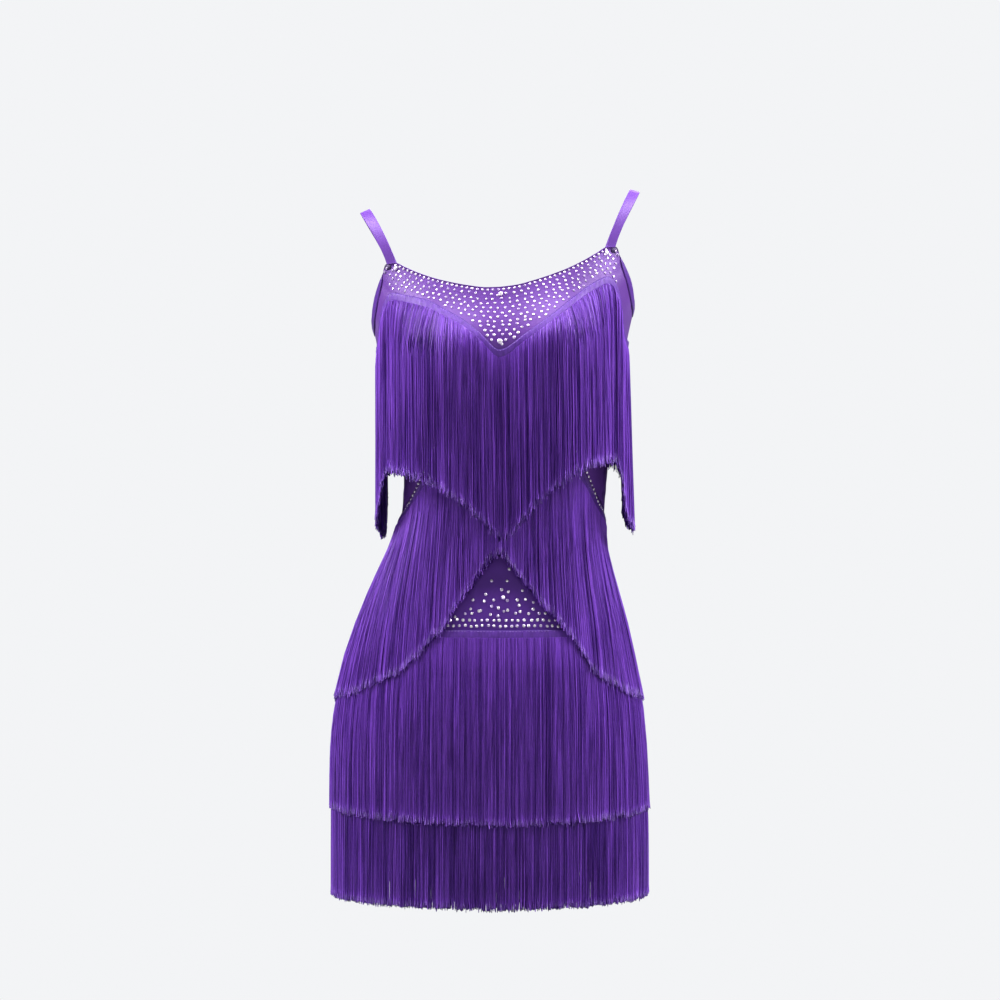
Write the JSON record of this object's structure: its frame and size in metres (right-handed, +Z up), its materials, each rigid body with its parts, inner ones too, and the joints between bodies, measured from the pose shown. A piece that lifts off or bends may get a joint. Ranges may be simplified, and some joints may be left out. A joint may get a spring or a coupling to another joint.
{
  "type": "latin dance costume",
  "caption": "Sleeveless fitted dance dress in stretch cloth with two thin straps, a scooped neck and four tiers of long fringe, open at neck, armholes and hem.",
  "frame": {"origin": "point on the shoulder line halfway between the tops of the two straps, where the wearer or a hanger holds the dress", "axes": "+Z up the wearer, -Y out of the front of the dress, +X towards a viewer's right who faces the front"},
  "size_m": [0.3558, 0.2559, 0.782],
  "materials": {
    "bodice_cloth": "purple stretch satin",
    "skirt_cloth": "purple stretch satin",
    "strap_cloth": "folded purple stretch satin",
    "binding_cloth": "dark purple stretch binding",
    "fringe_bust": "purple rayon fringe on a woven tape",
    "fringe_hip": "purple rayon fringe on a woven tape",
    "fringe_skirt_upper": "purple rayon fringe on a woven tape",
    "fringe_skirt_lower": "purple rayon fringe on a woven tape"
  },
  "bodies": {
    "root": {"bodice_front": "bodice_cloth", "bodice_back": "bodice_cloth", "skirt_front": "skirt_cloth", "skirt_back": "skirt_cloth", "strap_left": "strap_cloth", "strap_right": "strap_cloth", "armhole_binding_left": "binding_cloth", "armhole_binding_right": "binding_cloth", "fringe_bust": "fringe_bust", "fringe_hip": "fringe_hip", "fringe_skirt_upper": "fringe_skirt_upper", "fringe_skirt_lower": "fringe_skirt_lower"}
  },
  "joints": []
}
